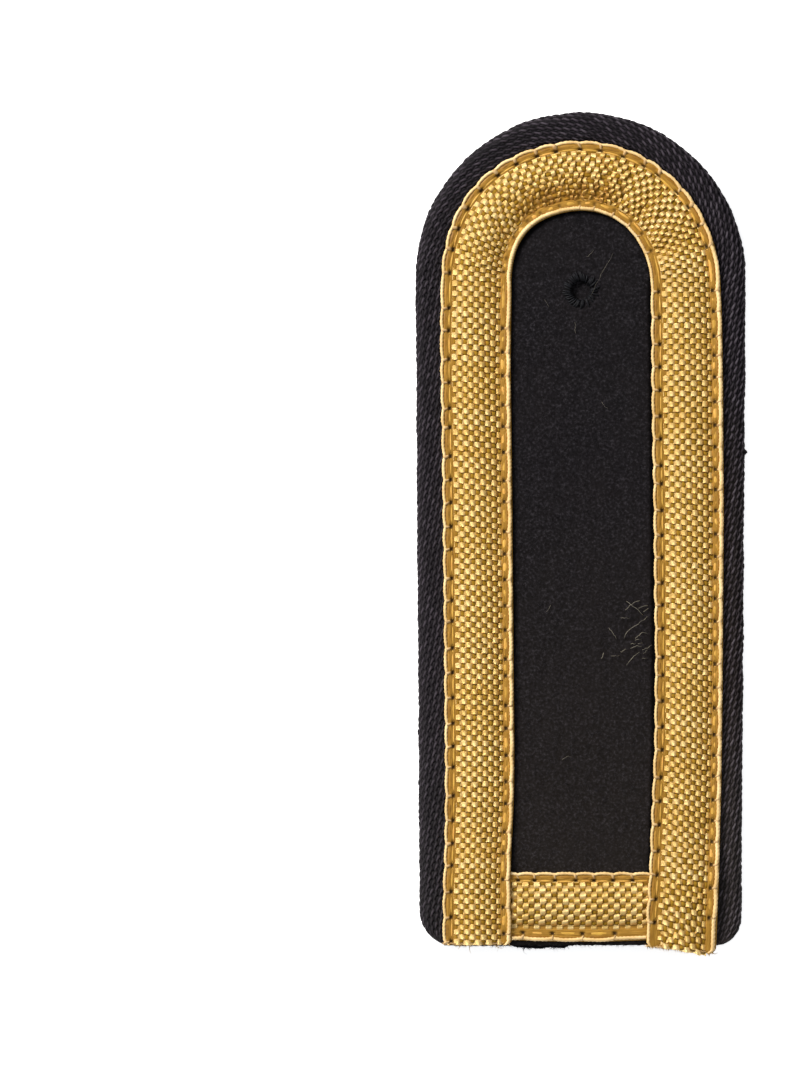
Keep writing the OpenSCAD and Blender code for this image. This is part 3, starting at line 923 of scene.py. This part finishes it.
def crossings(line, stations, side, seed):
    """The stitch from hole to edge: a soft thread up out of the hole, across the selvedge and
    down round the cord. It runs along q, so its rings lie in the s and h directions."""
    rng = np.random.default_rng(seed)
    t = np.linspace(0, 1, 10)[None, :]
    start = np.abs(hole_q(line, stations, side))[:, None] + 0.24
    finish = 4.60 + 0.22 * turned_away(line, stations, side)[:, None]
    q = side * (start + (finish - start) * np.interp(t, CROSSING_AT, CROSSING_OUT))
    h = np.interp(t, CROSSING_AT, CROSSING_UP)
    s = stations[:, None] + rng.normal(-0.12, 0.12, (len(stations), 1)) * (t - 0.2)
    turn = round_about(6)
    fat = 0.135 + 0.02 * rng.normal(0, 1, (len(stations), 1, 1))
    fat = fat * np.interp(t, [0, 0.3, 0.8, 1], [0.5, 1, 1.1, 0.8])[..., None]
    points = lay_on(line, s[..., None] + 1.4 * fat * np.sin(turn) * side, q[..., None] + 0 * turn,
                    h[..., None] + 0.8 * fat * np.cos(turn))
    return points, tube_faces(points)


cord_finish, add, feed = new_finish("cream_cord", Roughness=0.5)
feed("Base Color", ramp(add, noise(add, 420, 4), (0.3, (0.72, 0.46, 0.17)), (0.55, (0.88, 0.61, 0.27)),
                        (0.8, (0.96, 0.73, 0.39))))
emboss(add, feed, noise(add, 5000, 2), 0.4, 0.00004)

sewing_finish, add, feed = new_finish("sewing_silk", Roughness=0.5, Specular_IOR_Level=0.3)
ply = noise(add, 1500, 3)
tone = ramp(add, read_marks(add)["Z"], (0.0, (0.23, 0.105, 0.010)), (0.3, (0.33, 0.155, 0.016)),
            (0.6, (0.60, 0.34, 0.05)), (1.0, (0.74, 0.40, 0.08)))
feed("Base Color", mix(add, 0.4, tone, ply, "OVERLAY"))
emboss(add, feed, ply, 0.5, 0.00005)

crossing_finish = fibre_finish("dull_sewing_thread", 1200, 2, (0.35, (0.42, 0.25, 0.09)),
                               (0.65, (0.68, 0.45, 0.20)), Roughness=0.6)


def sew_edge(name, line, first, length, stations, side, seed):
    """Lays one edge's cord, its two strands of sewing and its crossing threads."""
    make_piece(f"{name}_cord", cord_finish, "gold_lace",
               *edge_cord(line, first, length, stations, side, seed))
    yellow = 1.25 * np.abs(hole_q(line, stations[:-1], side))[:, None] - 0.93
    make_piece(f"{name}_yellow_strand", sewing_finish, "gold_lace",
               *strands(line, stations, side, seed + 10, yellow, 0.42 * yellow - 1.31, 0.56, 0.26,
                        (0.5, 1)))
    make_piece(f"{name}_brown_strand", sewing_finish, "gold_lace",
               *strands(line, stations, side, seed + 20, 0.4 * yellow + 2.63, 0.24, 0.58, 0.10,
                        (0.1, 0.4)))
    make_piece(f"{name}_crossings", crossing_finish, "gold_lace",
               *crossings(line, stations, side, seed + 30))


sew_edge("lace_loop_outer", lace_line, FRAYED - 0.1, LACE_LENGTH, outer_holes, 1, 81)
sew_edge("lace_loop_inner", lace_line, FRAYED - 0.1, LACE_LENGTH, inner_holes, -1, 83)

# Lace loop: frayed ends
# Both feet of the loop are cut raw. A pale lip of short, tangled ends lies along
# each cut, and a few gilt and silk fibres stick out past it.


def frayed_end(s_end, count, seed, longest, spread, radius):
    """Short fibres that start inside the cut at s_end and run on down the board, curling; spread
    is how far they turn from straight down, in radians."""
    rng = np.random.default_rng(seed)
    root_q = rng.uniform(-4.5, 4.5, count)
    root_h = rng.uniform(0.1, 0.35, count) + 0.6 * np.cos(root_q / 3.1) * rng.uniform(0.4, 1, count)
    root = lay_on(lace_line, np.full(count, s_end), root_q, root_h)
    heading = rng.normal(-np.pi / 2, spread, count)[:, None]
    length = (rng.gamma(2.0, 0.2, count) * longest)[:, None]
    t = np.linspace(0, 1, 5)[None, :]
    bend = rng.normal(0, 0.8, (count, 1))
    paths = curls(root[:, :1], root[:, 1:2] + 0.18, root[:, 2:] * (1 - 0.18 * t * length), length,
                  heading, bend, t)
    return hairs(paths, radius * (1.1 - t), 4)


for name, s_end, seed in (("left", FRAYED, 121), ("right", LACE_LENGTH, 122)):
    make_piece(f"lace_loop_fray_{name}", warp_finish, "gold_lace",
               *frayed_end(s_end, 60, seed, 0.8, 0.5, 0.04))
    make_piece(f"lace_loop_fray_gilt_{name}", crossing_finish, "gold_lace",
               *frayed_end(s_end, 420, seed + 5, 0.62, 1.3, 0.075))

# Cross lace
# A short length of the same lace, sewn down along both edges across the foot,
# with its ends tucked under the legs of the loop.
CROSS_X, CROSS_Y = -0.1225, -50.72
CROSS_LEFT, CROSS_RIGHT = -12.6, 12.4
CROSS_LENGTH = CROSS_RIGHT - CROSS_LEFT
CROSS_SHARE = 0.965
CROSS_PITCH = 0.775


def cross_line(s, q):
    """A point of the cross lace's underside, s mm from its left end and q mm up the board from
    its middle: straight along X, its lower edge bowed a little towards the foot."""
    s, q = np.broadcast_arrays(s, q)
    bow = 0.25 * (0.5 - q / 9.6) * np.cos(np.pi * np.clip((s + CROSS_LEFT) / 20, -0.5, 0.5))
    return s + CROSS_LEFT, CROSS_Y + CROSS_SHARE * q - bow, LACE_Z + 0 * s


def cross_crown(s, q):
    """Height of the cross lace's band: the round crown, steeper on its lower side, and pressed
    down where a leg lies on it."""
    crown = np.where(q > 0, round_crown(q), round_crown(q, 0.40, 0.92, 5.5, 0.65))
    pressed = np.clip((np.abs(s + CROSS_LEFT - CROSS_X) - 8.3) / 1.2, 0, 1)
    return crown * (1 - pressed) + np.minimum(crown, 0.5) * pressed + 0.02 * ripple(s, q, 42, 3)


def level(s, q):
    """The cross lace's rows run square across it: no sway."""
    return 0 * s * q


def cross_overlap(s, q):
    """The cross lace's floats are longer on its upper half, as on the loop."""
    return 0.42 + 0.05 * q + 0 * s


def even(s, q):
    """The cross lace's rows are equally unruly all over."""
    return 1 + 0 * s * q


cross_top_holes = stitch_stations(CROSS_LENGTH, 2.62, 1.3, 91)
cross_low_holes = stitch_stations(CROSS_LENGTH, 4.1, 0.9, 92)
cross_rows = row_places(0, CROSS_LENGTH, ([0, CROSS_LENGTH], [CROSS_PITCH, CROSS_PITCH]))
ground = make_piece("cross_lace_ground", ground_finish, "gold_lace",
                    *lace_ground(cross_line, cross_crown, np.linspace(0, CROSS_LENGTH, 120),
                                 [(1, cross_top_holes), (-1, cross_low_holes)]))
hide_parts("cross_lace")
make_piece("cross_lace_gilt", gilt_finish, "gold_lace",
           *weft(cross_line, cross_crown, cross_rows, level, 93, even, cross_overlap))
make_piece("cross_lace_warp", warp_finish, "gold_lace",
           *warp(cross_line, cross_crown, cross_rows, level, 94, even))
sew_edge("cross_lace_top", cross_line, 0.0, CROSS_LENGTH, cross_top_holes, 1, 95)
sew_edge("cross_lace_low", cross_line, 0.0, CROSS_LENGTH, cross_low_holes, -1, 97)

# Eyelet
# A buttonhole worked in black thread: close, uneven radial stitches over the
# edge of the hole, through the felt and round to a ring on the back.
STITCHES, STITCH_RADIUS = 40, 0.105
# along one stitch, from its outer end over the top and through the hole to the back: place,
# distance from the hole's middle, height
STITCH_AT = [0, 0.08, 0.18, 0.34, 0.42, 0.60, 0.68, 0.82, 0.92, 1]
STITCH_OUT = [2.42, 2.34, 2.05, 1.5, 1.3, 1.3, 1.5, 2.05, 2.34, 2.42]
STITCH_UP = [2.25, 2.50, 2.62, 2.58, 2.2, 0.35, 0.13, 0.11, 0.11, 0.25]

rng = np.random.default_rng(101)
turn = (np.arange(STITCHES) * 2 * np.pi / STITCHES + rng.normal(0, 0.05, STITCHES))[:, None]
t = np.linspace(0, 1, 16)[None, :]
on_top = np.clip(1 - 2 * t, 0, 1)
r = np.interp(t, STITCH_AT, STITCH_OUT) + rng.normal(0, 0.14, (STITCHES, 1)) * on_top
askew = turn + 0.28 * np.sin(turn + 0.6) * on_top + rng.normal(0, 0.06, (STITCHES, 1)) * on_top
h = np.interp(t, STITCH_AT, STITCH_UP) + rng.normal(0, 0.04, (STITCHES, 1)) * on_top
paths = as_points(HOLE_AT[0] + r * np.cos(askew), HOLE_AT[1] + r * np.sin(askew), h)
thread_finish, add, feed = new_finish("black_thread", Roughness=0.6, Specular_IOR_Level=0.2)
ply = noise(add, 2400, 3)
feed("Base Color", ramp(add, ply, (0.35, (0.002, 0.002, 0.003)), (0.7, (0.010, 0.010, 0.013))))
emboss(add, feed, ply, 0.6, 0.00006)
stitches = make_piece("eyelet_stitches", thread_finish, "thread",
                      *hairs(paths[:, ::-1], STITCH_RADIUS, 6))
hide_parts("eyelet")

# Lint
# A tuft of pale torn fibres clings to the wool beside the right leg, with a few
# loose hairs round the eyelet.
TUFT_RADIUS, HAIR_RADIUS = 0.040, 0.016
TUFT = [  # each line is one fibre, by pixels of the photograph
    [(625, 601), (634, 608), (642, 616)], [(624, 610.5), (629, 605), (638, 600)],
    [(622, 638), (626.5, 630.5), (631, 627), (639, 622), (646, 617)], [(637, 608), (646, 605)],
    [(642, 612), (647, 608)], [(619, 618), (628, 618)],
    [(633, 639), (639, 633), (643, 632), (646, 634)], [(634, 640), (640, 639)],
    [(629, 644), (634, 643.5)], [(636, 643.5), (641, 643)],
    [(629, 648), (635, 646), (640.5, 647)], [(619, 652), (624, 649)],
    [(640.5, 650), (650, 645.5)], [(642, 654), (646, 649)],
    [(625, 664.5), (631, 657), (638, 652)], [(640, 658.5), (646, 658)],
    [(608, 628), (615, 639)], [(609, 656), (617, 656)], [(600.5, 658), (602, 653)]]
HAIRS = [[(612, 254), (603, 268), (596, 281), (590, 295)], [(592, 250), (586, 257)],
         [(573.5, 322), (574, 334)], [(543, 300), (548, 307)], [(600, 402), (606, 409)],
         [(545, 612), (549, 606)], [(560, 760), (566, 756), (571, 757)]]


def fibre_paths(lines, seed, lift, places=9):
    """Each fibre follows its line of pixels, evenly by length, and arches off the wool as a sine."""
    rng = np.random.default_rng(seed)
    paths = []
    for line in lines:
        x, y = on_board(*np.array(line, float).T)
        run = np.concatenate([[0], np.cumsum(np.hypot(np.diff(x), np.diff(y)))])
        t = np.linspace(0, run[-1], places)
        wave = rng.normal(0, 0.05, (2, places))
        h = 0.12 + lift * rng.uniform(0.4, 1) * np.sin(np.pi * t / run[-1])
        paths.append(as_points(np.interp(t, run, x) + wave[0], np.interp(t, run, y) + wave[1],
                               CLOTH_TOP + h))
    return np.array(paths)


lint_finish = fibre_finish("pale_lint", 900, 2, (0.35, (0.07, 0.062, 0.048)),
                           (0.65, (0.22, 0.195, 0.145)), Roughness=0.6)
make_piece("lint_tuft", lint_finish, None, *hairs(fibre_paths(TUFT, 111, 0.5), TUFT_RADIUS, 4))
make_piece("stray_hairs", lint_finish, None, *hairs(fibre_paths(HAIRS, 112, 0.2), HAIR_RADIUS, 4))

low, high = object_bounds()
